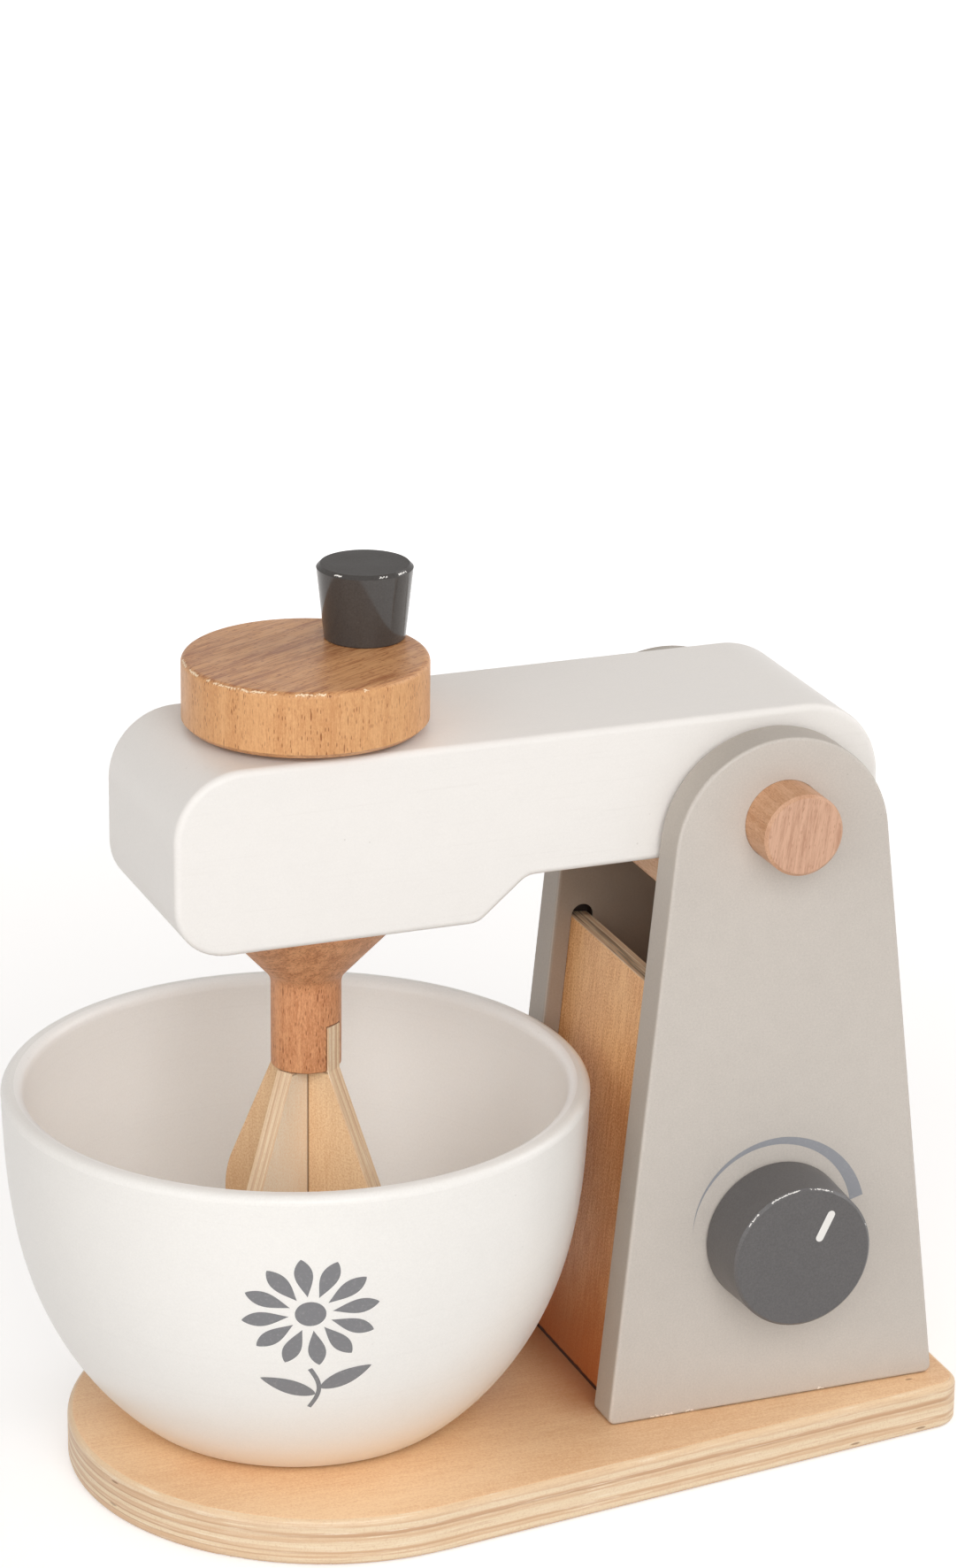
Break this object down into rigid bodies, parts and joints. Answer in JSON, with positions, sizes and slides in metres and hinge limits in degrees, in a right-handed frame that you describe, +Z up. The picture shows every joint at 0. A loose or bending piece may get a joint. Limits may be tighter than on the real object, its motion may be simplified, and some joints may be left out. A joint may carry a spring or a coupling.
{
  "type": "toy stand mixer",
  "caption": "Wooden toy stand mixer: a tilting arm on two tapered side panels turns a plywood whisk with a crank disc over a loose round bowl, with a dial on one side.",
  "frame": {"origin": "centre of the base board's flat underside", "axes": "+X from the bowl end to the stand end, -Y the side with the dial, +Z up"},
  "size_m": [0.2492, 0.1542, 0.2428],
  "materials": {
    "birch_plywood": "sanded plywood under thin clear matt varnish, plies showing on the edges",
    "screw_steel": "zinc plated, slightly dull",
    "panel_paint": "warm light grey satin paint on wood",
    "beech": "fine sanded beech under thin clear matt varnish",
    "arm_paint": "white satin paint on wood",
    "knob_lacquer": "dark warm grey gloss lacquer on turned wood, worn at the edge",
    "bowl_paint": "white satin paint on turned wood, grey printed flower on the front",
    "dial_lacquer": "grey satin lacquer on turned wood, white pointer mark"
  },
  "bodies": {
    "stand": {"base_board": "birch_plywood", "base_screws": "screw_steel", "dial_side_panel": "panel_paint", "plain_side_panel": "panel_paint", "front_cross_board": "birch_plywood", "rear_cross_board": "birch_plywood", "arm_rest_bar": "beech", "rest_bar_dowels": "beech"},
    "tilting_arm": {"arm": "arm_paint", "pivot_dowel": "beech"},
    "crank_and_whisk": {"crank_disc": "beech", "disc_washer": "beech", "crank_knob": "knob_lacquer", "crank_knob_dowel": "beech", "spindle_dowel": "beech", "whisk_hub": "beech", "whisk_blade_slotted": "birch_plywood", "whisk_blade_crossing": "birch_plywood"},
    "mixing_bowl": {"bowl": "bowl_paint"},
    "dial": {"dial_knob": "dial_lacquer", "dial_screw": "screw_steel", "dial_washer": "screw_steel"}
  },
  "joints": [
    {"name": "arm_tilt", "type": "hinge", "parent": "stand", "child": "tilting_arm", "pos_m": [0.06232, 0, 0.178], "axis": [0, 1, 0], "range_deg": [0, 90]},
    {"name": "whisk_spin", "type": "hinge", "parent": "tilting_arm", "child": "crank_and_whisk", "pos_m": [-0.05382, 0, 0.2041], "axis": [0, 0, 1], "continuous": true},
    {"name": "bowl_lift", "type": "slide", "parent": "stand", "child": "mixing_bowl", "axis": [0, 0, 1], "range_m": [0, 0.01]},
    {"name": "dial_turn", "type": "hinge", "parent": "stand", "child": "dial", "pos_m": [0.06332, -0.0413, 0.0622], "axis": [0, -1, 0], "continuous": true}
  ]
}
